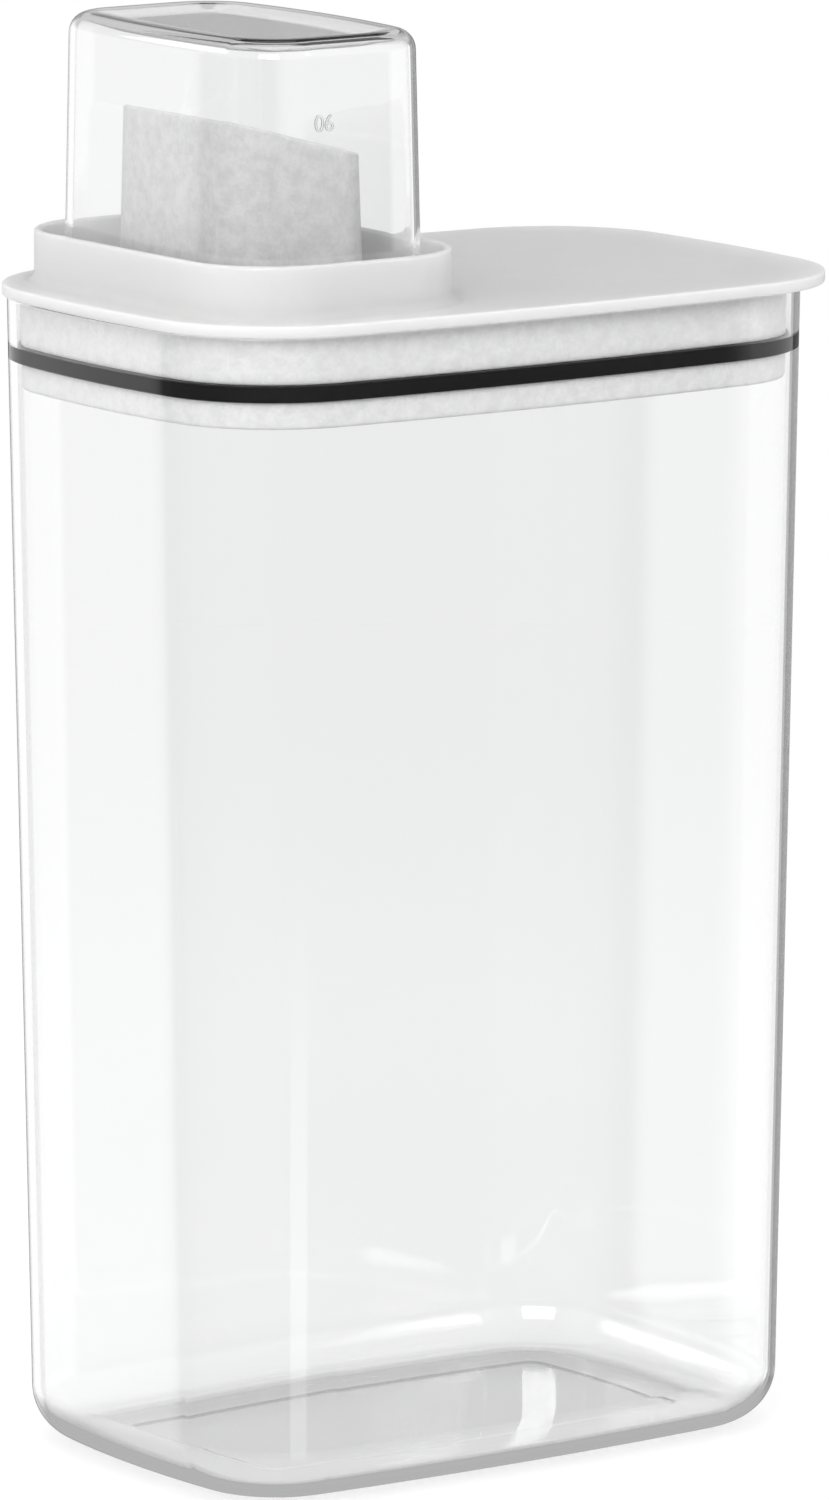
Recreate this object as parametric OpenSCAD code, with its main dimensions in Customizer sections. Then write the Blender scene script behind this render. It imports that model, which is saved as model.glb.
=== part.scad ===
// Cereal container with a pour spout under an upturned measuring cup.
// A clear tapered bin, a push-in lid made of a cover and a plug with a seal ring,
// and the cup that stands in the lid's collar and caps the spout.
// Millimetres, +Z up. The origin is on the table under the middle of the lid.
// The spout end is -X, the finger lip is +X and the long front side faces -Y.

/* [Bin] */
// Height from the table to the rim
bin_height = 212.5; // [150:0.5:300]
// Length over the rim
bin_length = 138.2; // [120:0.1:180]
// Width over the rim
bin_width = 94.7; // [84:0.1:130]
// Corner radius at the rim
bin_corner = 25.2; // [18:0.1:34]
// How much shorter and narrower the base is than the rim, on each side
bin_draft = 3.5; // [1:0.1:8]
// Thickness of the walls
bin_wall = 1.6; // [1:0.1:3]
// Thickness of the floor
bin_floor = 1.8; // [1.2:0.1:4]
// Radius of the rounded edge around the base
base_round = 10; // [6:0.5:14]
// How much smaller the round inside is than an even wall would make it
base_fill = 2.4; // [0.5:0.1:3]
// Rise of the floor from over the panel's edge out to that round, in degrees
floor_rise = 2; // [0:0.5:12]
// Distance from the side of the base to the raised panel under it
panel_margin = 18.6; // [15:0.1:20]
// Height of that panel above the table
panel_lift = 0.7; // [0.3:0.1:2]

/* [Outline] */
// Radius of the slight bulge along the two long sides
long_bulge = 640; // [300:5:2000]
// Radius of the slight bulge along the two short ends
short_bulge = 210; // [150:5:1000]

/* [Lid cover] */
// Thickness of the deck
deck_thickness = 2.2; // [1.6:0.1:4]
// Overhang beyond the rim at the spout end
lip_back = 0.6; // [0.3:0.1:3]
// Overhang beyond the rim at the finger end
lip_finger = 5.2; // [3:0.1:12]
// Overhang beyond the rim along the two long sides
lip_side = 1.1; // [0.5:0.1:4]
// How much larger the radius of its bulging ends is than at the rim
lip_flatter = 60; // [0:5:200]

/* [Collar] */
// Distance from the spout end of the lid to the collar
collar_inset = 7.3; // [5:0.1:12]
// Corner radius of the collar
collar_corner = 17; // [14:0.1:22]
// Radius of the slight bulge along its two long sides, across the lid
collar_end_bulge = 1400; // [600:10:3000]
// Radius of the slight bulge along its two short sides
collar_side_bulge = 720; // [400:10:2000]
// Height of the collar above the deck
collar_height = 9.8; // [6:0.1:16]
// Thickness of the collar
collar_wall = 1.3; // [1:0.1:2]
// Radius of the cove where the collar meets the deck
collar_cove = 2.2; // [1:0.1:3]

/* [Plug] */
// Depth of the skirt below the rim
skirt_depth = 16.6; // [12:0.1:30]
// Thickness of the skirt
skirt_wall = 2; // [1.6:0.1:3]
// Gap between the skirt and the wall of the bin
skirt_gap = 0.85; // [0.5:0.05:1.5]
// Thickness of the plate that closes the plug
plate_thickness = 1.8; // [1.2:0.1:3]
// Depth from the rim down to the top of the seal
seal_depth = 8.7; // [5:0.1:9]
// Height of the seal
seal_height = 3; // [2:0.1:3.5]
// How far the two lips of the seal stand out
lip_reach = 0.4; // [0.3:0.05:0.6]
// Depth of the valley between the two lips
lip_valley = 0.25; // [0.1:0.05:0.4]
// Height of the slope of each lip
lip_slope = 0.45; // [0.2:0.05:0.5]
// Height of the flat face of each lip
lip_flat = 0.45; // [0.2:0.05:0.5]
// Depth of the groove that holds the seal
groove_depth = 1; // [0.6:0.1:1.2]

/* [Spout] */
// Length of the spout along X, at the deck
spout_length = 31.6; // [26:0.1:34]
// Width of the spout along Y, at the deck
spout_width = 43.8; // [36:0.1:56]
// Corner radius of the spout
spout_corner = 8.7; // [6:0.1:12]
// Radius of the slight bulge along the two sides that face the ends of the lid
spout_end_bulge = 175; // [100:5:800]
// Radius of the slight bulge along the two other sides
spout_side_bulge = 390; // [200:5:1500]
// Thickness of the spout
spout_wall = 1.5; // [1:0.1:2.5]
// Height of the middle of the mouth above the deck
spout_height = 29.3; // [20:0.1:31]
// Slope of the mouth, rising towards the spout end, in degrees
spout_slope = 15.4; // [0:0.1:18]
// Draft of the spout on each side, in degrees
spout_draft = 1.7; // [0.5:0.1:3]

/* [Measuring cup] */
// Height of the cup above the deck
cup_height = 48.9; // [44:0.1:60]
// Length of the cup along X, at the mouth
cup_length = 45.2; // [42:0.1:50]
// Width of the cup along Y, at the mouth
cup_width = 71.2; // [66:0.1:76]
// Corner radius of the cup
cup_corner = 13.5; // [10:0.1:16]
// Radius of the slight bulge along the two sides that face the ends of the lid
cup_end_bulge = 175; // [120:5:800]
// Radius of the slight bulge along the two other sides
cup_side_bulge = 390; // [250:5:1500]
// Draft of the cup on each side, in degrees
cup_draft = 1.3; // [0.5:0.1:2]
// Thickness of the cup
cup_wall = 1.3; // [1:0.1:1.6]
// Radius of the rounded edge around the closed end
cup_round = 4.4; // [2:0.1:6]
// Depth of the dish in the closed end, whose wall keeps its thickness
dish_depth = 1.15; // [0.3:0.05:2]
// Corner radius of the flat middle of the dish
dish_corner = 2; // [1:0.1:4]
// Thickness of the flange around the mouth
cup_flange = 1.8; // [1.2:0.1:3]
// How far the flange stands out on the two sides that face the ends of the lid
flange_end = 2.45; // [1.5:0.05:4]
// How far the flange stands out on the two other sides
flange_side = 2.6; // [1.5:0.05:4]

/* [Clearances] */
// Between the cup's flange and the inside of the collar
cup_clearance = 0.3; // [0.2:0.05:0.5]
// Between the spout and its hole in the deck
spout_clearance = 0.25; // [0.15:0.05:0.5]
// Between the lips of the seal and the wall of the bin
seal_clearance = 0.2; // [0.1:0.05:0.3]
// Between the seal and the three sides of its groove
groove_clearance = 0.1; // [0.05:0.05:0.2]

/* [Hidden] */

// Segments of a quarter of an outline: half an end, a corner, half a side
end_steps = 3;
corner_steps = 9;
side_steps = 4;
// Segments of a rounded edge
round_steps = 6;
// Small radius that breaks the moulded edges
edge = 0.4;

// Heights
rim_z = bin_height;
deck_z = rim_z + deck_thickness;
collar_z = deck_z + collar_height;
skirt_z = rim_z - skirt_depth;
cup_z = deck_z + cup_height;
mouth_z = deck_z + spout_height;

// The collar goes around the flange of the cup
collar_length = cup_length + 2 * (flange_end + cup_clearance + collar_wall);
collar_width = cup_width + 2 * (flange_side + cup_clearance + collar_wall);

// An outline is [half length, half width, corner radius, side radius, end radius, centre x].
lid_outline = [bin_length / 2 + (lip_back + lip_finger) / 2, bin_width / 2 + lip_side,
    bin_corner + lip_side, long_bulge, short_bulge + lip_flatter, 0];
rim_outline = [bin_length / 2, bin_width / 2, bin_corner, long_bulge, short_bulge,
    (lip_back - lip_finger) / 2];
spout_x = -lid_outline[0] + collar_inset + collar_length / 2;
collar_outline = [collar_length / 2, collar_width / 2, collar_corner, collar_side_bulge,
    collar_end_bulge, spout_x];
cup_outline = [cup_length / 2, cup_width / 2, cup_corner, cup_side_bulge, cup_end_bulge, spout_x];
spout_outline = [spout_length / 2, spout_width / 2, spout_corner, spout_side_bulge,
    spout_end_bulge, spout_x];

// The outline moved inwards by d: every arc keeps its centre.
function inset(o, d) = [o[0] - d, o[1] - d, o[2] - d, o[3] - d, o[4] - d, o[5]];

// The bin's outside at height z, narrower towards the base
function bin_at(z, d = 0) = inset(rim_outline, d + bin_draft * (1 - z / bin_height));
// The spout and the cup at height z, narrower towards their tops
function spout_at(z, d = 0) = inset(spout_outline, d + (z - deck_z) * tan(spout_draft));
function cup_at(z, d = 0) = inset(cup_outline, d + (z - deck_z) * tan(cup_draft));

// Centre of the corner arc that touches the side arc and the end arc from inside: where the
// circle of radius side - corner around [0, b - side] meets the one around [a - end, 0].
function corner_centre(o) =
    let (p = [0, o[1] - o[3]], q = [o[0] - o[4], 0], rp = o[3] - o[2], rq = o[4] - o[2],
         d = norm(q - p), u = (q - p) / d, t = (rp * rp - rq * rq + d * d) / (2 * d),
         h = sqrt(max(rp * rp - t * t, 0)), side = [-u[1], u[0]])
    p + u * t + side * h * (side[0] + side[1] > 0 ? 1 : -1);

// First quarter of an outline, from the middle of the end to the middle of the side
function quarter(o) =
    let (c = corner_centre(o), p = [0, o[1] - o[3]], q = [o[0] - o[4], 0],
         from_end = atan2(c[1] - q[1], c[0] - q[0]), from_side = atan2(c[1] - p[1], c[0] - p[0]))
    concat(
        [for (i = [0 : end_steps - 1])
            q + o[4] * [cos(from_end * i / end_steps), sin(from_end * i / end_steps)]],
        [for (i = [0 : corner_steps])
            let (a = from_end + (from_side - from_end) * i / corner_steps)
            c + o[2] * [cos(a), sin(a)]],
        [for (i = [1 : side_steps])
            let (a = from_side + (90 - from_side) * i / side_steps)
            p + o[3] * [cos(a), sin(a)]]);

// The whole outline, anticlockwise, with its two mirror planes
function outline(o) =
    let (q = quarter(o), n = len(q),
         half = concat(q, [for (i = [n - 2 : -1 : 0]) [-q[i][0], q[i][1]]]), m = len(half))
    [for (p = concat(half, [for (i = [m - 2 : -1 : 1]) [half[i][0], -half[i][1]]]))
        [p[0] + o[5], p[1]]];

// A level ring at height z
function ring(o, z) = [for (p = outline(o)) [p[0], p[1], z]];
// A ring on the sloping mouth, drop below it
function mouth_ring(d, drop) =
    [for (p = outline(spout_at(mouth_z, d)))
        [p[0], p[1], mouth_z - drop - (p[0] - spout_x) * tan(spout_slope)]];

// Rings of a quarter round of radius r: from [r in, z] to [0 in, z + r * up]
function round_rings(r, z, up, steps = round_steps) =
    [for (i = [0 : steps]) [r * (1 - sin(90 * i / steps)), z + up * r * (1 - cos(90 * i / steps))]];

// Skin over a list of rings with as many points each; looped joins the last to the first,
// otherwise both end rings are closed with a flat face.
module skin(rings, looped = false) {
    n = len(rings[0]);
    m = len(rings);
    bands = looped ? m : m - 1;
    polyhedron(
        points = [for (r = rings) each r],
        faces = concat(
            [for (j = [0 : bands - 1], i = [0 : n - 1], k = [0, 1])
                let (a = j * n, b = ((j + 1) % m) * n, e = (i + 1) % n)
                k == 0 ? [a + i, b + i, b + e] : [a + i, b + e, a + e]],
            looped ? [] : [[for (i = [0 : n - 1]) i], [for (i = [n - 1 : -1 : 0]) (m - 1) * n + i]]));
}

// Rings of the round of radius r where a wall at the inset w meets a floor that rises towards it.
// The floor would reach the wall at height z; the round touches both, r / tan(45 + rise / 2) away.
function foot_rings(w, z, r, rise, steps = round_steps) =
    [for (i = [0 : steps]) let (t = 180 + (90 - rise) * i / steps)
        [w + r + r * cos(t), z + r / tan(45 + rise / 2) + r * sin(t)]];

// Clear bin: raised panel, foot ring, rounded base edge, tapered walls, rounded rim, and a floor
// that rises gently from over the panel's edge to the round at the foot of the walls
module container_body() {
    inner_round = base_round - bin_wall - base_fill;
    floor_z = panel_lift + bin_floor;
    meet_z = floor_z + (panel_margin - bin_wall) * tan(floor_rise);
    color("aliceblue", 0.35)
    skin(concat(
        [ring(bin_at(0, panel_margin + edge), panel_lift), ring(bin_at(0, panel_margin), 0)],
        [for (s = round_rings(base_round, 0, 1)) ring(bin_at(s[1], s[0]), s[1])],
        [ring(bin_at(rim_z - edge), rim_z - edge), ring(bin_at(rim_z, edge), rim_z),
         ring(bin_at(rim_z, bin_wall - edge), rim_z), ring(bin_at(rim_z - edge, bin_wall), rim_z - edge)],
        [for (s = foot_rings(bin_wall, meet_z, inner_round, floor_rise)) ring(bin_at(s[1], s[0]), s[1])],
        [ring(bin_at(floor_z, panel_margin), floor_z)]));
}

function reversed(v) = [for (i = [len(v) - 1 : -1 : 0]) v[i]];

// White cover: flange and deck, cove, collar with a rounded rim, floor of the socket, spout hole
module lid_cover() {
    hole = -spout_clearance;
    bead = collar_wall / 2;
    color("whitesmoke")
    skin(concat(
        [ring(spout_at(rim_z, hole), rim_z),
         ring(inset(lid_outline, edge), rim_z), ring(lid_outline, rim_z + edge),
         ring(lid_outline, deck_z - edge), ring(inset(lid_outline, edge), deck_z)],
        [for (s = cove_rings(collar_cove, deck_z)) ring(inset(collar_outline, s[0]), s[1])],
        [for (i = [0 : round_steps])
            ring(inset(collar_outline, bead * (1 - cos(180 * i / round_steps))),
                collar_z - bead + bead * sin(180 * i / round_steps))],
        [ring(inset(collar_outline, collar_wall), deck_z + edge),
         ring(inset(collar_outline, collar_wall + edge), deck_z),
         ring(spout_at(rim_z, hole), deck_z)]), looped = true);
}

// Rings of a hollow quarter round of radius r, from its foot at height z up to the wall
function cove_rings(r, z, steps = 4) =
    [for (i = [0 : steps]) [-r * (1 - sin(90 * i / steps)), z + r * (1 - cos(90 * i / steps))]];

// Frosted plug: plate under the deck, grooved skirt, pour spout with a sloping mouth
module lid_plug() {
    outside = bin_wall + skirt_gap;
    inside = outside + skirt_wall;
    plate_z = rim_z - plate_thickness;
    groove_top = rim_z - seal_depth + groove_clearance;
    groove_foot = groove_top - seal_height - 2 * groove_clearance;
    color("gainsboro")
    skin(concat(
        [ring(spout_at(rim_z), rim_z)],
        [mouth_ring(0, edge), mouth_ring(edge, 0),
         mouth_ring(spout_wall - edge, 0), mouth_ring(spout_wall, edge),
         ring(spout_at(plate_z, spout_wall), plate_z)],
        [ring(bin_at(plate_z, inside + edge), plate_z), ring(bin_at(plate_z - edge, inside), plate_z - edge),
         ring(bin_at(skirt_z + edge, inside), skirt_z + edge), ring(bin_at(skirt_z, inside - edge), skirt_z),
         ring(bin_at(skirt_z, outside + edge), skirt_z), ring(bin_at(skirt_z + edge, outside), skirt_z + edge)],
        [ring(bin_at(groove_foot, outside), groove_foot),
         ring(bin_at(groove_foot, outside + groove_depth), groove_foot),
         ring(bin_at(groove_top, outside + groove_depth), groove_top),
         ring(bin_at(groove_top, outside), groove_top)],
        [ring(bin_at(rim_z - edge, outside), rim_z - edge), ring(bin_at(rim_z, outside + edge), rim_z)]),
        looped = true);
}

// Black seal: a square root in the groove and two lips towards the wall of the bin
module lid_seal() {
    top = rim_z - seal_depth;
    foot = top - seal_height;
    root = bin_wall + skirt_gap + groove_depth - groove_clearance;
    lip = bin_wall + seal_clearance;
    neck = lip + lip_reach;
    valley = lip + lip_valley;
    // Distance in from the outside of the bin, and height
    profile = [[root, foot], [neck, foot], [lip, foot + lip_slope], [lip, foot + lip_slope + lip_flat],
        [valley, (foot + top) / 2],
        [lip, top - lip_slope - lip_flat], [lip, top - lip_slope], [neck, top], [root, top]];
    color([0.06, 0.06, 0.06])
    skin([for (p = profile) ring(bin_at(p[1], p[0]), p[1])], looped = true);
}

// Clear measuring cup, mouth down: dished closed end, rounded edge, flange that fits the collar
module measuring_cup() {
    flange = inset(collar_outline, collar_wall + cup_clearance);
    flange_z = deck_z + cup_flange;
    dish_z = cup_z - dish_depth;
    // Inset at which the corners of the cup have shrunk to those of the flat middle
    dish_inset = cup_corner - cup_height * tan(cup_draft) - dish_corner;
    inner_z = cup_z - cup_wall;
    inner_round = cup_round - cup_wall;
    brim = edge / 2;
    color("aliceblue", 0.35)
    skin(concat(
        [ring(cup_at(cup_z, dish_inset), dish_z - cup_wall)],
        [for (s = round_rings(inner_round, inner_z, -1)) ring(cup_at(s[1], cup_wall + s[0]), s[1])],
        [ring(cup_at(deck_z, cup_wall), deck_z),
         ring(inset(flange, brim), deck_z), ring(flange, deck_z + brim),
         ring(flange, flange_z - brim), ring(inset(flange, brim), flange_z),
         ring(cup_at(flange_z), flange_z)],
        [for (s = reversed(round_rings(cup_round, cup_z, -1))) ring(cup_at(s[1], s[0]), s[1])],
        [ring(cup_at(cup_z, dish_inset), dish_z)]));
}

container_body();
lid_cover();
lid_plug();
lid_seal();
measuring_cup();
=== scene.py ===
# Clear cereal container: tapered bin, white push-in lid with a ring seal and a pour spout,
# and the upturned measuring cup that caps the spout. Metres, +Z up, front side towards -Y.
import math

import bpy
import numpy as np
from mathutils import Matrix, Vector


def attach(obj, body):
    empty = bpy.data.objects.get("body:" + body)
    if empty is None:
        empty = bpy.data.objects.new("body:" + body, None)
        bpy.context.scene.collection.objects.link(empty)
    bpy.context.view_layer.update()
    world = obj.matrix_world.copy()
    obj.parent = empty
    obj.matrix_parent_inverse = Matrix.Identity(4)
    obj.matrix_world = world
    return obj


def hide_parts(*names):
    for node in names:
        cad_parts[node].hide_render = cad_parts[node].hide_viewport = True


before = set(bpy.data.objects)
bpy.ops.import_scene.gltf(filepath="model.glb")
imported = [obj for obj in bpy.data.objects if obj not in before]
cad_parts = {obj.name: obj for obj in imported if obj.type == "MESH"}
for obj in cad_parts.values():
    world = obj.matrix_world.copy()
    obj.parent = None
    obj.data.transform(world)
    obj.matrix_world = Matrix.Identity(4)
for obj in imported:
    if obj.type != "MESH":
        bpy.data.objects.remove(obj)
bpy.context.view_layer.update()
print("frame loaded")

# All sizes below are in millimetres. An outline is half length, half width, corner radius,
# radius of the long sides, radius of the short ends, and the x of its middle.
mm = 0.001
edgeRound = 0.4  # on the edges of the lid


def around(o, steps=(10, 34, 12)):
    # Points round an outline, for arrays of outlines at once. A quarter is three arcs that touch:
    # the end arc about a point on the X axis, the corner arc, the side arc about a point on the Y axis.
    # The corner's centre is as far from each big centre as that big radius less the corner's own.
    # The quarter is mirrored in X, and the half in Y. Gives rows x points x 2.
    a, b, r, side, end, cx = np.moveaxis(np.asarray(o, float), -1, 0)[:, :, None]
    px, py = np.zeros_like(a), b - side
    qx, qy = a - end, np.zeros_like(a)
    rp, rq = side - r, end - r
    d = np.hypot(qx - px, qy - py)
    ux, uy = (qx - px) / d, (qy - py) / d
    t = (rp ** 2 - rq ** 2 + d ** 2) / (2 * d)
    h = np.sqrt(np.maximum(rp ** 2 - t ** 2, 0))
    sign = np.where(-uy + ux > 0, 1, -1)
    ccx, ccy = px + ux * t - uy * h * sign, py + uy * t + ux * h * sign
    fromEnd = np.arctan2(ccy, ccx - qx)
    fromSide = np.arctan2(ccy - py, ccx)
    s0 = np.arange(steps[0]) / steps[0]
    s1 = np.linspace(0, 1, steps[1] + 1)
    s2 = np.arange(1, steps[2] + 1) / steps[2]
    a0 = fromEnd * s0
    a1 = fromEnd + (fromSide - fromEnd) * s1
    a2 = fromSide + (math.pi / 2 - fromSide) * s2
    x = np.hstack([qx + end * np.cos(a0), ccx + r * np.cos(a1), side * np.cos(a2)])
    y = np.hstack([end * np.sin(a0), ccy + r * np.sin(a1), py + side * np.sin(a2)])
    x, y = np.hstack([x, -x[:, -2::-1]]), np.hstack([y, y[:, -2::-1]])
    x, y = np.hstack([x, x[:, -2:0:-1]]), np.hstack([y, -y[:, -2:0:-1]])
    return np.dstack([x + cx, y])


def inset(o, d):
    # The outline moved inwards by d: every arc keeps its centre, so all five sizes lose d.
    d = np.asarray(d, float)[..., None]
    return np.asarray(o, float) - d * np.array([1, 1, 1, 1, 1, 0.0])


def softProfile(corners, steps=6, hold=0.22):
    # A line of (inset, height) corners, each with a radius. A corner becomes an arc that touches both
    # its lines, at radius / tan(half the angle) from the corner. Short holding stretches on either side
    # of each arc, where the straight part is long enough, keep its shading flat.
    pts = np.array([c[:2] for c in corners], float)
    radii = np.array([c[2] for c in corners], float)
    leg = np.diff(pts, axis=0)
    length = np.linalg.norm(leg, axis=1)
    along = leg / length[:, None]
    half = np.arccos(np.clip(-(along[:-1] * along[1:]).sum(1), -1, 1)) / 2
    reach = np.zeros(len(pts))
    reach[1:-1] = radii[1:-1] / np.tan(half)
    straight = length - reach[:-1] - reach[1:]
    out = [pts[:1]]
    for i in range(1, len(pts) - 1):
        u, v = -along[i - 1], along[i]
        centre = pts[i] + (u + v) / np.linalg.norm(u + v) * radii[i] / math.sin(half[i - 1])
        start, stop = pts[i] + u * reach[i], pts[i] + v * reach[i]
        if straight[i - 1] > 3 * hold:
            out.append((start + u * hold)[None])
        if radii[i] > 0:
            a0 = math.atan2(*(start - centre)[::-1])
            turn = (math.atan2(*(stop - centre)[::-1]) - a0 + math.pi) % (2 * math.pi) - math.pi
            a = a0 + turn * np.linspace(0, 1, max(steps, int(radii[i] * 2)) + 1)
            out.append(centre + radii[i] * np.column_stack([np.cos(a), np.sin(a)]))
        else:
            out.append(pts[i][None])
        if straight[i] > 3 * hold:
            out.append((stop + v * hold)[None])
    out.append(pts[-1:])
    return np.vstack(out)


def rings(outlineAt, profile):
    # Level rings: at each (inset, height) of the profile, the outline for that height moved in.
    xy = around(outlineAt(profile[:, 1], profile[:, 0]))
    z = np.broadcast_to(profile[:, 1, None, None], xy.shape[:2] + (1,))
    return np.concatenate([xy, z], axis=2)


def skin(name, stations, looped, body, cadNode):
    # A surface over rings with as many points each. It joins its last ring to the first, or each
    # end is closed by a fan to the ring's middle. Faces point outwards for rings that go up outside.
    m, n = stations.shape[:2]
    verts = stations.reshape(-1, 3) * mm
    j = np.arange(m if looped else m - 1)[:, None]
    i = np.arange(n)[None, :]
    a, b = j * n, ((j + 1) % m) * n
    e = (i + 1) % n
    faces = np.stack([a + i, a + e, b + e, b + i], axis=-1).reshape(-1, 4).tolist()
    if not looped:
        k = np.arange(n)
        middle = np.array([stations[0].mean(0), stations[-1].mean(0)]) * mm
        first = np.column_stack([np.full(n, m * n), (k + 1) % n, k])
        last = np.column_stack([np.full(n, m * n + 1), (m - 1) * n + k, (m - 1) * n + (k + 1) % n])
        verts = np.vstack([verts, middle])
        faces += first.tolist() + last.tolist()
    mesh = bpy.data.meshes.new(name)
    mesh.from_pydata(verts.tolist(), [], faces)
    mesh.polygons.foreach_set("use_smooth", np.ones(len(mesh.polygons), bool))
    mesh.update()
    piece = bpy.data.objects.new(name, mesh)
    bpy.context.scene.collection.objects.link(piece)
    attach(piece, body)
    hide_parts(cadNode)
    return piece


tub = {
    "height": 212.5,
    "rim": (69.1, 47.35, 25.2, 640, 210, -2.3),
    "draft": 3.5,  # how far each side comes in from the rim to the table
    "wall": 1.6,
    "floor": 1.4,
    "baseRound": 10,
    "innerRound": 8,  # where the floor meets the wall
    "floorRise": 0.5,  # degrees, of the floor from the panel out to that round
    "panelMargin": 18.6,
    "panelLift": 0.7,
}


def binAt(z, d=0.0):
    # The bin's outside at height z: the rim's outline, drawn in evenly towards the table.
    return inset(tub["rim"], d + tub["draft"] * (1 - np.asarray(z, float) / tub["height"]))


cover = {
    "outline": (72, 48.45, 26.3, 640, 270, 0),
    "deck": 2.2,
    "collar": (26.65, 39.8, 17, 720, 1400, -38.05),
    "collarHeight": 9.8,
    "collarWall": 1.3,
    "cove": 2.2,
    "holeGap": 0.25,
}
deckZ = tub["height"] + cover["deck"]
plug = {
    "skirtDepth": 16.6,
    "skirtWall": 2,
    "skirtGap": 0.85,
    "plate": 1.8,
    "grooveDepth": 1,
    "grooveGap": 0.1,
    "spout": (15.8, 21.9, 8.7, 390, 175, -38.05),
    "spoutWall": 1.5,
    "spoutHeight": 29.3,
    "spoutSlope": 15.4,  # degrees, rising towards the spout end
    "spoutDraft": 1.7,  # degrees
}


def spoutAt(z, d=0.0):
    # The spout at height z: drawn in by its draft above the deck.
    slope = math.tan(math.radians(plug["spoutDraft"]))
    return inset(plug["spout"], d + (np.asarray(z, float) - deckZ) * slope)


cup = {
    "outline": (22.6, 35.6, 13.5, 390, 175, -38.05),
    "height": 48.9,
    "draft": 1.3,  # degrees
    "wall": 1.3,
    "round": 4.4,
    "dish": 1.15,
    "dishInset": 10.4,  # from the side of the cup to the flat middle of the closed end
    "flange": 1.8,
    "flangeGap": 0.3,
}


def cupAt(z, d=0.0):
    # The cup at height z: drawn in by its draft above the deck.
    slope = math.tan(math.radians(cup["draft"]))
    return inset(cup["outline"], d + (np.asarray(z, float) - deckZ) * slope)


def fixed(outline):
    # An outline that is the same at every height.
    return lambda z, d: inset(outline, d)


def makeBin():
    # Raised panel, foot, round base edge and outer wall up to the rim, then down inside to the floor,
    # which rises from over the panel's edge towards the wall.
    top, wall = tub["height"], tub["wall"]
    floorZ = tub["panelLift"] + tub["floor"]
    margin = tub["panelMargin"]
    rise = (margin - wall) * math.tan(math.radians(tub["floorRise"]))
    profile = softProfile([
        (margin + 2, tub["panelLift"], 0), (margin + 0.5, tub["panelLift"], 0.3), (margin, 0, 0.3),
        (0, 0, tub["baseRound"]), (0, top, 0.5), (wall, top, 0.5),
        (wall, floorZ + rise, tub["innerRound"]), (margin, floorZ, 10), (margin + 2, floorZ, 0)], steps=8)
    # the long walls get rings of their own, for the fine waves of the moulding
    tall = np.flatnonzero(np.abs(np.diff(profile[:, 1])) > 60)
    for k in tall[::-1]:
        share = np.linspace(0, 1, 24)[1:-1, None]
        profile = np.insert(profile, k + 1, profile[k] + share * (profile[k + 1] - profile[k]), axis=0)
    return skin("binShell", rings(binAt, profile), False, "container", "container_body")


def makeCover():
    # Spout hole, underside, flange, deck, cove, collar with a round rim, floor of the socket.
    top, rimZ = deckZ, tub["height"]
    collarZ = deckZ + cover["collarHeight"]
    bead = cover["collarWall"] / 2
    under = softProfile([(30, rimZ, 0), (0, rimZ, edgeRound), (0, top, edgeRound), (10, top, 0)])[1:-1]
    collar = softProfile([
        (-cover["cove"] - 1, top, 0), (0, top, cover["cove"]), (0, collarZ, bead * 0.98),
        (2 * bead, collarZ, bead * 0.98), (2 * bead, top, edgeRound), (2 * bead + 3, top, 0)], steps=8)[1:-1]
    hole = softProfile([(-3, top, 0), (-cover["holeGap"], top, 0.25), (-cover["holeGap"], rimZ, 0.25),
                        (-3, rimZ, 0)], steps=4)[1:-1]
    parts = [rings(fixed(cover["outline"]), under), rings(fixed(cover["collar"]), collar),
             rings(lambda z, d: spoutAt(rimZ, d), hole)]
    return skin("lidCover", np.concatenate(parts), True, "lid", "lid_cover")


def makePlug():
    # Spout outside up to its sloping mouth and down inside, plate, skirt with the groove of the seal.
    rimZ = tub["height"]
    plateZ, skirtZ = rimZ - plug["plate"], rimZ - plug["skirtDepth"]
    mouthZ = deckZ + plug["spoutHeight"]
    out = tub["wall"] + plug["skirtGap"]
    into = out + plug["skirtWall"]
    slope = math.tan(math.radians(plug["spoutSlope"]))
    wall = plug["spoutWall"]

    # A ring on the sloping mouth has height mouthZ - drop - (x - middle) * slope.
    lipCorners = softProfile([(0, 4, 0), (0, 0, 0.5), (wall, 0, 0.5), (wall, 4, 0)], steps=5)[1:-1]
    xy = around(spoutAt(np.full(len(lipCorners), mouthZ), lipCorners[:, 0]))
    z = mouthZ - lipCorners[:, 1, None] - (xy[:, :, 0] - plug["spout"][5]) * slope
    mouth = np.dstack([xy, z])
    foot = rings(spoutAt, np.array([(0, rimZ), (0, rimZ + 0.4)]))
    footLine = softProfile([(wall, rimZ + 3, 0), (wall, plateZ, 0.6), (wall - 4, plateZ, 0)], steps=4)
    footIn = rings(spoutAt, footLine[1:-1])
    # stretches between the foot and the sloping mouth, so that the fine texture sits evenly
    share = np.linspace(0, 1, 12)[1:-1, None, None]
    rise = foot[-1][None] * (1 - share) + mouth[0][None] * share
    fall = mouth[-1][None] * (1 - share) + footIn[0][None] * share
    grooveTop = rimZ - seal["depth"] + plug["grooveGap"]
    grooveFoot = grooveTop - seal["height"] - 2 * plug["grooveGap"]
    deep = out + plug["grooveDepth"]
    skirt = softProfile([
        (into + 4, plateZ, 0), (into, plateZ, 1.2), (into, skirtZ, 0.6), (out, skirtZ, 0.6),
        (out, grooveFoot, 0.2), (deep, grooveFoot, 0.1), (deep, grooveTop, 0.1), (out, grooveTop, 0.2),
        (out, rimZ, 0.4), (out + 5, rimZ, 0)], steps=5)[1:-1]
    parts = [foot, rise, mouth, fall, footIn, rings(binAt, skirt)]
    return skin("lidPlug", np.concatenate(parts), True, "lid", "lid_plug")


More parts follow.
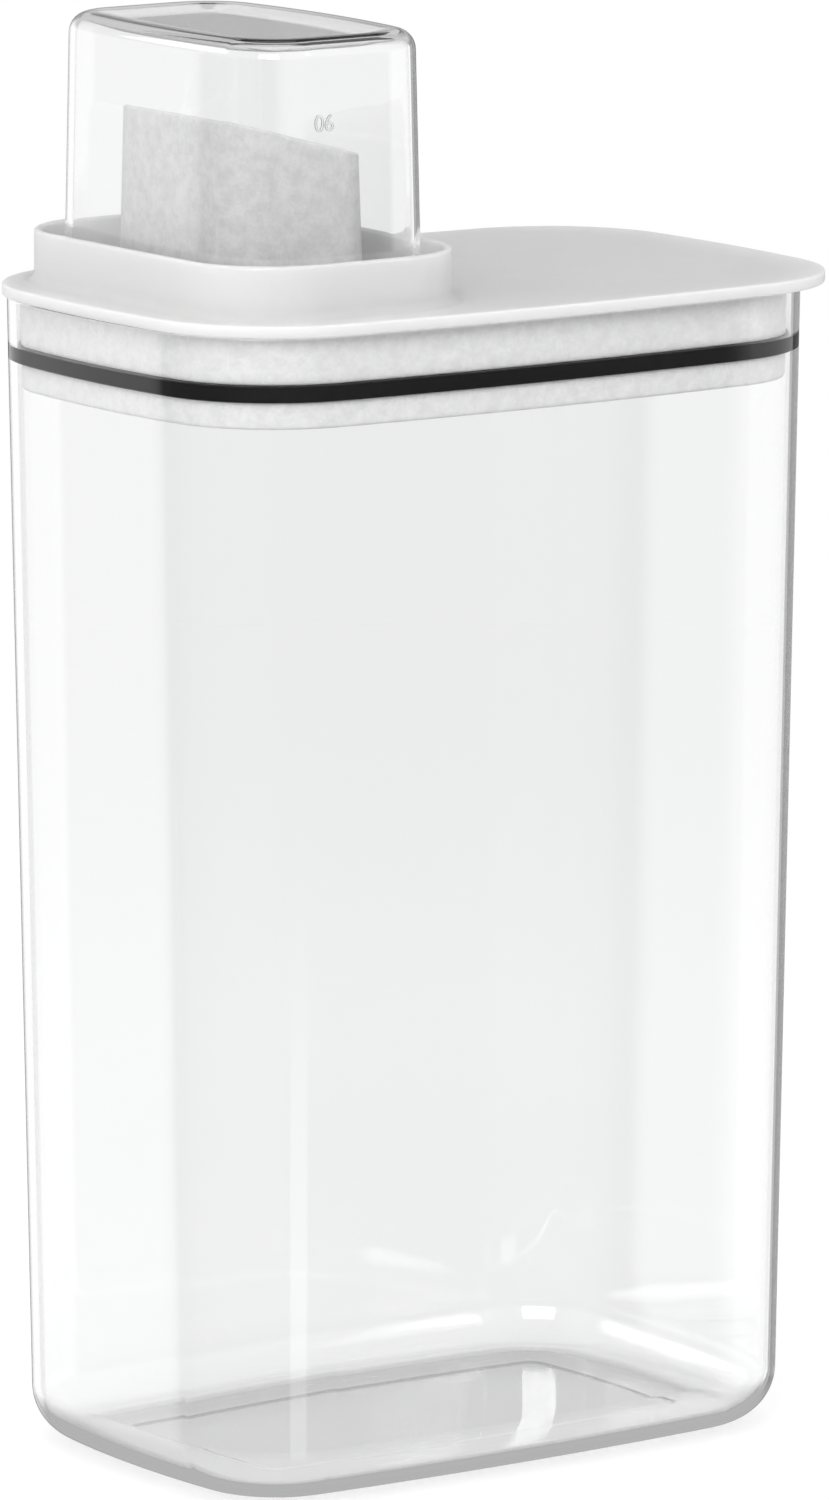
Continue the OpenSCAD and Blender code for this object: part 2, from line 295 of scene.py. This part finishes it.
seal = {"depth": 8.7, "height": 3, "gap": -0.02}  # pressed against the wall, so the gap is closed


def makeSeal():
    # A ring with a square root in the groove and one flat face pressed against the bin.
    top = tub["height"] - seal["depth"]
    foot = top - seal["height"]
    root = tub["wall"] + plug["skirtGap"] + plug["grooveDepth"] - plug["grooveGap"]
    lip, h = tub["wall"] + seal["gap"], seal["height"]
    profile = softProfile([
        (root, foot + h / 2, 0), (root, foot, 0.12), (lip, foot, 0.25), (lip, top, 0.25),
        (root, top, 0.12), (root, foot + h / 2, 0)], steps=5, hold=0.08)[:-1]
    return skin("sealRing", rings(binAt, profile), True, "lid", "lid_seal")


def makeCup():
    # Closed end inside, inner wall down to the mouth, flange in the collar, outer wall up
    # and round the shoulder to the closed end, which is dished and as thick as the wall.
    top = deckZ + cup["height"]
    wall, r = cup["wall"], cup["round"]
    slope, dip = cup["dishInset"], cup["dish"]
    flange = inset(cover["collar"], cover["collarWall"] + cup["flangeGap"])
    flangeZ = deckZ + cup["flange"]
    inside = softProfile([
        (slope + 1.2, top - dip - wall, 0), (slope, top - dip - wall, 12), (r, top - wall, 8),
        (wall, top - wall, r - wall - 0.8), (wall, deckZ, 0.25), (0, deckZ, 0)], steps=8)[:-1]
    rim = softProfile([(5, deckZ, 0), (0, deckZ, 0.3), (0, flangeZ, 0.3), (5, flangeZ, 0)], steps=4)[1:-1]
    outside = softProfile([
        (-3, flangeZ, 0), (0, flangeZ, 0.5), (0, top, r - 0.8), (r, top, 8),
        (slope, top - dip, 12), (slope + 1.2, top - dip, 0)], steps=8)[1:]
    parts = [rings(cupAt, inside), rings(fixed(flange), rim), rings(cupAt, outside)]
    return skin("cupShell", np.concatenate(parts), False, "cup", "measuring_cup")


# A plain number moulded on the side of the cup, upright when the cup is turned over. Its place is the
# middle's x and z, and its faces stand this far out of the wall.
mark = {"number": "90", "size": 4.2, "x": -43.9, "z": 249.0, "proud": 0.12}


def makeMark():
    # Made flat, then laid on the wall: along the wall by -X, up by -Z, out of the wall by -Y, where
    # y = half width - side radius + sqrt(side radius^2 - (x - middle)^2).
    bpy.ops.object.text_add()
    letters = bpy.context.object
    letters.data.body = mark["number"]
    letters.data.size = mark["size"]
    letters.data.align_x = "CENTER"
    letters.data.align_y = "CENTER"
    letters.data.extrude = mark["proud"] / 2
    letters.data.bevel_depth = mark["proud"] / 4
    letters.data.resolution_u = 6
    bpy.ops.object.convert(target="MESH")
    piece = bpy.context.object
    piece.name = "cupNumber"
    flat = np.empty(len(piece.data.vertices) * 3)
    piece.data.vertices.foreach_get("co", flat)
    flat = flat.reshape(-1, 3)
    x, z = mark["x"] - flat[:, 0], mark["z"] - flat[:, 1]
    o = cupAt(z)
    wall = o[:, 1] - o[:, 3] + np.sqrt(o[:, 3] ** 2 - (x - o[:, 5]) ** 2)
    placed = np.column_stack([x, -wall - flat[:, 2] - mark["proud"] / 4, z]) * mm
    piece.data.vertices.foreach_set("co", placed.ravel())
    piece.data.update()
    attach(piece, "cup")
    return piece


def node(tree, kind, at=(0, 0), **values):
    # Adds a shader node, and sets its properties or its inputs by name.
    n = tree.nodes.new(kind)
    n.location = at
    for key, value in values.items():
        if hasattr(n, key):
            setattr(n, key, value)
        else:
            n.inputs[key.replace("_", " ")].default_value = value
    return n


def maths(tree, kind, *values):
    # One step of arithmetic on numbers and other nodes' outputs, given as an output.
    n = node(tree, "ShaderNodeMath", operation=kind)
    for k, value in enumerate(values):
        if isinstance(value, (int, float)):
            n.inputs[k].default_value = value
        else:
            tree.links.new(value, n.inputs[k])
    return n.outputs[0]


def ramped(tree, value, low, high, kind="SMOOTHSTEP"):
    # 0 at low and 1 at high, and a smooth or straight way between them, given as an output.
    n = node(tree, "ShaderNodeMapRange", interpolation_type=kind, From_Min=low, From_Max=high)
    tree.links.new(value, n.inputs["Value"])
    return n.outputs["Result"]


def blended(tree, share, one, other):
    # Shader one, and shader other by its share.
    n = node(tree, "ShaderNodeMixShader")
    for k, output in enumerate((share, one, other)):
        tree.links.new(output, n.inputs[k])
    return n.outputs[0]


def shownBy(tree, path):
    # 1 for rays from the camera and rays that were mirrored or went through something, else 0.
    bent = maths(tree, "MAXIMUM", path.outputs["Is Glossy Ray"], path.outputs["Is Transmission Ray"])
    return maths(tree, "MAXIMUM", path.outputs["Is Camera Ray"], bent)


def grey(value):
    return (value, value, value, 1)


def newMaterial(name):
    # A material with one plain shader, linked to its output.
    material = bpy.data.materials.new(name)
    material.use_nodes = True
    tree = material.node_tree
    tree.nodes.clear()
    out = node(tree, "ShaderNodeOutputMaterial", (600, 0))
    shader = node(tree, "ShaderNodeBsdfPrincipled", (250, 0))
    tree.links.new(shader.outputs["BSDF"], out.inputs["Surface"])
    return material, tree, shader, out


def mouldedGroup():
    # The surface of moulded plastic: soft waves, a fine orange peel and faint wiping marks.
    # Height = wave noise x Waves + peel noise x Peel. Marks = stretched noise between two limits x Marks.
    g = bpy.data.node_groups.new("mouldedSurface", "ShaderNodeTree")
    for name, value in (("Waves", 0.5), ("Peel", 0.2), ("Peel Scale", 900.0), ("Marks", 0.5)):
        socket = g.interface.new_socket(name=name, in_out="INPUT", socket_type="NodeSocketFloat")
        socket.default_value = value
    for name in ("Height", "Marks"):
        g.interface.new_socket(name=name, in_out="OUTPUT", socket_type="NodeSocketFloat")
    given = node(g, "NodeGroupInput", (-900, 0))
    out = node(g, "NodeGroupOutput", (700, 0))
    where = node(g, "ShaderNodeTexCoord", (-900, -300))
    waves = node(g, "ShaderNodeTexNoise", (-500, 200), Scale=22.0, Detail=1.0)
    peel = node(g, "ShaderNodeTexNoise", (-500, -50), Detail=2.0)
    stretch = node(g, "ShaderNodeMapping", (-700, -350), vector_type="TEXTURE", Scale=(0.03, 0.03, 0.012))
    smear = node(g, "ShaderNodeTexNoise", (-500, -350), Scale=1.0, Detail=5.0, Roughness=0.65)
    for n in (waves, peel, stretch):
        g.links.new(where.outputs["Object"], n.inputs["Vector"])
    g.links.new(stretch.outputs["Vector"], smear.inputs["Vector"])
    g.links.new(given.outputs["Peel Scale"], peel.inputs["Scale"])
    height = maths(g, "ADD", maths(g, "MULTIPLY", waves.outputs["Fac"], given.outputs["Waves"]),
                   maths(g, "MULTIPLY", peel.outputs["Fac"], given.outputs["Peel"]))
    smears = ramped(g, smear.outputs["Fac"], 0.42, 0.75, "LINEAR")
    marks = maths(g, "MULTIPLY", smears, given.outputs["Marks"])
    g.links.new(height, out.inputs["Height"])
    g.links.new(marks, out.inputs["Marks"])
    return g


moulded = mouldedGroup()


def addMoulded(tree, shader, strength, distance, roughness, **values):
    # Places the moulded surface group: its height feeds a bump, and roughness = its marks + a constant.
    g = node(tree, "ShaderNodeGroup", (-500, -200), node_tree=moulded)
    for key, value in values.items():
        g.inputs[key.replace("_", " ")].default_value = value
    bump = node(tree, "ShaderNodeBump", (-150, -300), Strength=strength, Distance=distance)
    tree.links.new(g.outputs["Height"], bump.inputs["Height"])
    tree.links.new(bump.outputs["Normal"], shader.inputs["Normal"])
    tree.links.new(maths(tree, "ADD", g.outputs["Marks"], roughness), shader.inputs["Roughness"])
    return g


def twoTones(tree, shader, group, clean, wiped):
    # Base colour = the clean tone, going over into the wiped one by the group's marks.
    tone = node(tree, "ShaderNodeMix", (-150, 150), data_type="RGBA")
    tone.inputs["A"].default_value = clean
    tone.inputs["B"].default_value = wiped
    tree.links.new(group.outputs["Marks"], tone.inputs["Factor"])
    tree.links.new(tone.outputs["Result"], shader.inputs["Base Color"])


clearLook = {
    "tint": (0.995, 0.996, 0.997, 1),
    "bend": 1.56,
    "taken": (0.86, 0.88, 0.88, 1),  # the colour that is left of light which goes far through it
    "density": 8.0,
    "mirrorings": 2.5,  # light that has been mirrored more often than this leaves the wall straight on
}


def clearPlastic(name, roughness, waves):
    # Glass-clear plastic: bends light, takes a little of it with depth, and lets lamps through.
    # What goes straight on = the larger of "is a shadow ray" and "mirrored more often than the limit".
    material, tree, shader, out = newMaterial(name)
    shader.inputs["Base Color"].default_value = clearLook["tint"]
    shader.inputs["Transmission Weight"].default_value = 1.0
    shader.inputs["IOR"].default_value = clearLook["bend"]
    addMoulded(tree, shader, 0.25, 0.0004, roughness, Waves=waves, Peel=0.001, Peel_Scale=500.0, Marks=0.02)
    path = node(tree, "ShaderNodeLightPath", (250, 350))
    straight = node(tree, "ShaderNodeBsdfTransparent", (250, 150), Color=grey(1))
    trapped = maths(tree, "GREATER_THAN", path.outputs["Glossy Depth"], clearLook["mirrorings"])
    through = maths(tree, "MAXIMUM", path.outputs["Is Shadow Ray"], trapped)
    surface = blended(tree, through, shader.outputs["BSDF"], straight.outputs["BSDF"])
    tree.links.new(surface, out.inputs["Surface"])
    depth = node(tree, "ShaderNodeVolumeAbsorption", (250, -450),
                 Color=clearLook["taken"], Density=clearLook["density"])
    tree.links.new(depth.outputs["Volume"], out.inputs["Volume"])
    return material


# Scatter is how far light spreads inside, in metres.
satinLook = {"clean": grey(0.63), "wiped": (0.59, 0.59, 0.585, 1), "gloss": 0.4, "scatter": 0.006}


def satinWhite():
    # White moulded cover: satin, with a fine grain that the light picks out, and thin enough
    # to let some light through.
    material, tree, shader, _ = newMaterial("satinWhite")
    shader.inputs["Specular IOR Level"].default_value = satinLook["gloss"]
    shader.inputs["Subsurface Weight"].default_value = 1.0
    shader.inputs["Subsurface Radius"].default_value = (1, 1, 1)
    shader.inputs["Subsurface Scale"].default_value = satinLook["scatter"]
    g = addMoulded(tree, shader, 0.18, 0.0003, 0.42, Waves=0.3, Peel=0.5, Peel_Scale=1800.0, Marks=0.1)
    twoTones(tree, shader, g, satinLook["clean"], satinLook["wiped"])
    return material


frostedLook = {
    "dull": grey(0.86),
    "bright": grey(0.99),
    "spout": grey(0.785),  # painted shade: times the colour higher than the deck, so the spout inside the cup and collar reads darker
    "overlap": 0.004,  # metres above and below the deck over which that sets in
    "scatter": 0.0018,
}


def frostedPlastic():
    # Frosted moulding: cloudy patches and a fine blotchy grain in a pale, slightly see-through plastic.
    # Colour = a ramp of both noises, times a painted shade on the spout higher than the deck.
    material, tree, shader, _ = newMaterial("frostedPlastic")
    where = node(tree, "ShaderNodeTexCoord", (-1100, 0))
    cloud = node(tree, "ShaderNodeTexNoise", (-850, 200), Scale=380.0, Detail=3.0, Roughness=0.6)
    grain = node(tree, "ShaderNodeTexNoise", (-850, -50), Scale=1500.0, Detail=3.0, Roughness=0.7)
    both = node(tree, "ShaderNodeMix", (-600, 100), data_type="FLOAT")
    both.inputs["Factor"].default_value = 0.4
    for noise, side in ((cloud, "A"), (grain, "B")):
        tree.links.new(where.outputs["Object"], noise.inputs["Vector"])
        tree.links.new(noise.outputs["Fac"], both.inputs[side])
    ramp = node(tree, "ShaderNodeValToRGB", (-400, 150))
    for k, (place, look) in enumerate(((0.40, "dull"), (0.60, "bright"))):
        ramp.color_ramp.elements[k].position = place
        ramp.color_ramp.elements[k].color = frostedLook[look]
    tree.links.new(both.outputs["Result"], ramp.inputs["Fac"])
    split = node(tree, "ShaderNodeSeparateXYZ", (-850, 450))
    tree.links.new(where.outputs["Object"], split.inputs[0])
    # painted shade: from the deck up the colour is multiplied darker, a shaded tone for the spout in the cup
    # and collar
    over = frostedLook["overlap"]
    spoutShadeMask = ramped(tree, split.outputs["Z"], deckZ * mm - over, deckZ * mm + over)
    tone = node(tree, "ShaderNodeMix", (-50, 200), data_type="RGBA", blend_type="MULTIPLY")
    tone.inputs["B"].default_value = frostedLook["spout"]
    tree.links.new(spoutShadeMask, tone.inputs["Factor"])
    tree.links.new(ramp.outputs["Color"], tone.inputs["A"])
    tree.links.new(tone.outputs["Result"], shader.inputs["Base Color"])
    shader.inputs["Roughness"].default_value = 0.55
    shader.inputs["Specular IOR Level"].default_value = 0.35
    shader.inputs["Subsurface Weight"].default_value = 1.0
    shader.inputs["Subsurface Radius"].default_value = (1, 1, 1)
    shader.inputs["Subsurface Scale"].default_value = frostedLook["scatter"]
    bump = node(tree, "ShaderNodeBump", (-150, -300), Strength=0.3, Distance=0.0003)
    tree.links.new(both.outputs["Result"], bump.inputs["Height"])
    tree.links.new(bump.outputs["Normal"], shader.inputs["Normal"])
    return material


blackLook = {"clean": grey(0.004), "wiped": grey(0.02), "gloss": 0.15}


def blackSilicone():
    # Soft black ring: nearly black, satin, with a fine grain.
    material, tree, shader, _ = newMaterial("blackSilicone")
    shader.inputs["Specular IOR Level"].default_value = blackLook["gloss"]
    g = addMoulded(tree, shader, 0.2, 0.0002, 0.32, Waves=0.2, Peel=0.5, Peel_Scale=2500.0, Marks=0.15)
    twoTones(tree, shader, g, blackLook["clean"], blackLook["wiped"])
    return material


def wear(piece, material):
    piece.data.materials.clear()
    piece.data.materials.append(material)


binShell, lidCover, lidPlug, sealRing, cupShell = makeBin(), makeCover(), makePlug(), makeSeal(), makeCup()
wear(binShell, clearPlastic("clearBin", 0.008, 0.5))
clearCup = clearPlastic("clearCup", 0.01, 0.4)
for piece in (cupShell, makeMark()):
    wear(piece, clearCup)
wear(lidCover, satinWhite())
wear(lidPlug, frostedPlastic())
wear(sealRing, blackSilicone())
print("pieces made")

# The floor, in metres and linear grey values.
floorLook = {
    "radius": 7.0,
    "drop": 0.0004,  # below the foot of the object
    "lit": 0.86,  # its colour as it lights the object
    "shaded": 0.5,  # the part of its shown colour that takes the light and keeps the shadow
    "glow": 0.56,  # the part that doesn't
    "white": (0.25, 0.9),  # from the first distance to the second it goes over into plain white
}


def makeFloor():
    # A pale floor that keeps the object's shadow and goes over into the white background far out.
    # It has one look as it is shown and one as it lights the object, and mirrored rays go through it
    # to the studio walls.
    bpy.ops.mesh.primitive_circle_add(vertices=96, radius=floorLook["radius"], fill_type="NGON")
    floor = bpy.context.object
    floor.name = "studioFloor"
    floor.data.transform(Matrix.Translation((0, 0, -floorLook["drop"])))
    material, tree, shader, out = newMaterial("paleFloor")
    shader.inputs["Base Color"].default_value = grey(floorLook["lit"])
    shader.inputs["Roughness"].default_value = 0.9
    shader.inputs["Specular IOR Level"].default_value = 0.0
    dim = node(tree, "ShaderNodeBsdfDiffuse", (250, 250), Color=grey(floorLook["shaded"]))
    glow = node(tree, "ShaderNodeEmission", (250, 400), Color=grey(1), Strength=floorLook["glow"])
    near = node(tree, "ShaderNodeAddShader", (450, 300))
    tree.links.new(dim.outputs["BSDF"], near.inputs[0])
    tree.links.new(glow.outputs["Emission"], near.inputs[1])
    white = node(tree, "ShaderNodeEmission", (250, 550), Color=grey(1), Strength=1.0)
    where = node(tree, "ShaderNodeTexCoord", (-500, 500))
    far = node(tree, "ShaderNodeVectorMath", (-300, 500), operation="LENGTH")
    tree.links.new(where.outputs["Object"], far.inputs[0])
    fade = ramped(tree, far.outputs["Value"], *floorLook["white"])
    shown = blended(tree, fade, near.outputs[0], white.outputs["Emission"])
    path = node(tree, "ShaderNodeLightPath", (0, 800))
    either = blended(tree, shownBy(tree, path), shader.outputs["BSDF"], shown)
    mirrored = maths(tree, "GREATER_THAN", path.outputs["Glossy Depth"], 0.5)
    clear = node(tree, "ShaderNodeBsdfTransparent", (850, 500))
    tree.links.new(blended(tree, mirrored, either, clear.outputs["BSDF"]), out.inputs["Surface"])
    wear(floor, material)


# What the gloss of the plastic mirrors: dark and white walls by compass angle at table height, and on
# them bright cards and black flags. Each of these goes from one compass angle to another and from one
# height angle to another, with a soft stretch at its top and foot, and has a brightness.
# Compass angles are degrees from -X round through -Y.
studioWalls = {
    "radius": 20.0,
    "stops": [
        (0.0, 0.17), (134.0, 0.17), (136.0, 1.0), (197.0, 1.0), (199.0, 0.2), (226.0, 0.2), (228.0, 0.34),
        (242.0, 0.34), (244.0, 0.2), (250.0, 0.2), (254.0, 1.0), (314.5, 1.0), (316.0, 0.17), (360.0, 0.17)],
    # from one height angle to the next the walls go over into this brightness
    "upper": (6.5, 15.0, 0.6),
    "lower": (-18.0, -28.0, 0.45),
    "cards": [
        (69.0, 85.0, -33.0, -12.1, 2.8, 1.0), (27.0, 63.0, 14.3, 38.0, 0.05, 9.0),
        (116.5, 122.5, 22.0, 40.0, 0.05, 4.0), (294.0, 318.0, 18.0, 32.0, 0.05, 2.5)],
    "flags": [
        (196.0, 226.0, 36.0, 52.0, 0.05, 0.05), (226.0, 244.0, 28.0, 41.0, 0.05, 0.05),
        (244.0, 272.0, 34.0, 44.0, 0.05, 0.05)],
    "edge": 0.05,  # the soft stretch at their sides
}


def between(tree, angle, low, high, soft):
    # 1 between two angles, coming up from 0 over a soft stretch inside each of them:
    # (half the span - distance from its middle) / soft, held between 0 and 1.
    away = maths(tree, "ABSOLUTE", maths(tree, "SUBTRACT", angle, (low + high) / 2))
    held = maths(tree, "DIVIDE", maths(tree, "SUBTRACT", (high - low) / 2, away), soft)
    held.node.use_clamp = True
    return held


def makeStudioWalls():
    # A round wall seen only in reflections. Its brightness goes by the compass angle atan2(y, x) and the
    # height angle asin(z / radius): the walls, then the larger of that and each card, then times each flag.
    bpy.ops.mesh.primitive_uv_sphere_add(segments=48, ring_count=24, radius=studioWalls["radius"])
    wall = bpy.context.object
    wall.name = "studioWalls"
    material, tree, shader, out = newMaterial("studioWalls")
    tree.nodes.remove(shader)
    where = node(tree, "ShaderNodeTexCoord", (-1300, 0))
    unit = node(tree, "ShaderNodeVectorMath", (-1100, 0), operation="NORMALIZE")
    split = node(tree, "ShaderNodeSeparateXYZ", (-900, 0))
    tree.links.new(where.outputs["Object"], unit.inputs[0])
    tree.links.new(unit.outputs["Vector"], split.inputs[0])
    compass = maths(tree, "ARCTAN2", split.outputs["Y"], split.outputs["X"])
    turn = maths(tree, "MULTIPLY_ADD", compass, 180 / math.pi, 180.0)
    rise = maths(tree, "MULTIPLY", maths(tree, "ARCSINE", split.outputs["Z"]), 180 / math.pi)

    ramp = node(tree, "ShaderNodeValToRGB", (-100, 0))
    stops = ramp.color_ramp.elements
    for k, (degrees, value) in enumerate(studioWalls["stops"]):
        stop = stops[k] if k < 2 else stops.new(degrees / 360)
        stop.position = degrees / 360
        stop.color = grey(value)
    tree.links.new(maths(tree, "DIVIDE", turn, 360.0), ramp.inputs["Fac"])
    level = ramp.outputs["Color"]
    for side in ("upper", "lower"):
        near, far, value = studioWalls[side]
        tone = node(tree, "ShaderNodeMix", (200, 0), data_type="FLOAT")
        tone.inputs["B"].default_value = value
        tree.links.new(ramped(tree, rise, near, far), tone.inputs["Factor"])
        tree.links.new(level, tone.inputs["A"])
        level = tone.outputs["Result"]

    edge = studioWalls["edge"]
    for a0, a1, h0, h1, soft, bright in studioWalls["cards"]:
        card = maths(tree, "MULTIPLY", between(tree, turn, a0, a1, edge), between(tree, rise, h0, h1, soft))
        level = maths(tree, "MAXIMUM", level, maths(tree, "MULTIPLY", card, bright))
    for a0, a1, h0, h1, soft, bright in studioWalls["flags"]:
        flag = maths(tree, "MULTIPLY", between(tree, turn, a0, a1, edge), between(tree, rise, h0, h1, soft))
        level = maths(tree, "MULTIPLY", level, maths(tree, "MULTIPLY_ADD", flag, bright - 1, 1.0))

    glow = node(tree, "ShaderNodeEmission", (450, 0))
    tree.links.new(level, glow.inputs["Strength"])
    clear = node(tree, "ShaderNodeBsdfTransparent", (450, -200))
    path = node(tree, "ShaderNodeLightPath", (200, 300))
    mirrored = maths(tree, "GREATER_THAN", path.outputs["Glossy Depth"], 0.5)
    shown = blended(tree, mirrored, clear.outputs["BSDF"], glow.outputs["Emission"])
    tree.links.new(shown, out.inputs["Surface"])
    wear(wall, material)
    wall.visible_camera = wall.visible_diffuse = wall.visible_shadow = False


skyLook = {"light": 0.7, "shown": 1.0}  # strength as a light, and as the camera and the plastic see it


def makeWorld():
    # White to the camera and through or in the plastic, softer as a light.
    world = bpy.data.worlds.new("studio")
    bpy.context.scene.world = world
    world.use_nodes = True
    tree = world.node_tree
    tree.nodes.clear()
    out = node(tree, "ShaderNodeOutputWorld", (600, 0))
    path = node(tree, "ShaderNodeLightPath", (-400, 300))
    strength = node(tree, "ShaderNodeMapRange", (200, 200), To_Min=skyLook["light"], To_Max=skyLook["shown"])
    tree.links.new(shownBy(tree, path), strength.inputs["Value"])
    back = node(tree, "ShaderNodeBackground", (400, 0), Color=grey(1))
    tree.links.new(strength.outputs["Result"], back.inputs["Strength"])
    tree.links.new(back.outputs["Background"], out.inputs["Surface"])


lamps = {  # place, size, power in watts
    "keyLamp": ((-1.75, -0.7, 0.55), (1.4, 0.9), 11),
    "fillLamp": ((1.6, -0.9, 0.45), (1.0, 0.9), 4),
    "highLamp": ((-0.92, -1.32, 1.25), (1.0, 1.0), 14),
    "topLamp": ((-0.6, -0.35, 1.8), (1.2, 1.2), 6),
}
lampAim = Vector((0, 0, 0.13))


def makeLamps():
    # Soft rectangles that all face the middle of the object and that nothing shows or mirrors.
    for name, (place, size, watts) in lamps.items():
        data = bpy.data.lights.new(name, "AREA")
        data.shape = "RECTANGLE"
        data.size, data.size_y = size
        data.energy = watts
        lamp = bpy.data.objects.new(name, data)
        lamp.location = place
        lamp.rotation_euler = (lampAim - Vector(place)).to_track_quat("-Z", "Y").to_euler()
        lamp.visible_camera = lamp.visible_transmission = lamp.visible_glossy = False
        bpy.context.scene.collection.objects.link(lamp)


# Angles in degrees, distances in metres; the lens and its sensor in millimetres.
view = {
    "azimuth": -34.832,
    "elevation": 10.365,
    "distance": 1.96457,
    "target": (-0.0023, 0, 0.12206),
    "lens": 257.387,
    "sensor": 36,
    "shift": (0.006319, 0.018126),
}


def makeCamera():
    # The camera stands away from the target along (sin a cos e, -cos a cos e, sin e), for azimuth a and
    # elevation e, and looks at it. Azimuth 0 looks along +Y.
    a, e = math.radians(view["azimuth"]), math.radians(view["elevation"])
    away = Vector((math.sin(a) * math.cos(e), -math.cos(a) * math.cos(e), math.sin(e)))
    data = bpy.data.cameras.new("camera")
    data.sensor_fit = "VERTICAL"
    data.sensor_height = data.sensor_width = view["sensor"]
    data.lens = view["lens"]
    data.shift_x, data.shift_y = view["shift"]
    data.clip_start, data.clip_end = 0.01, 50
    camera = bpy.data.objects.new("camera", data)
    camera.location = Vector(view["target"]) + away * view["distance"]
    camera.rotation_euler = (-away).to_track_quat("-Z", "Y").to_euler()
    bpy.context.scene.collection.objects.link(camera)
    bpy.context.scene.camera = camera


makeFloor()
makeStudioWalls()
makeWorld()
makeLamps()
makeCamera()
bpy.context.scene.view_settings.view_transform = "Standard"
print("studio ready")
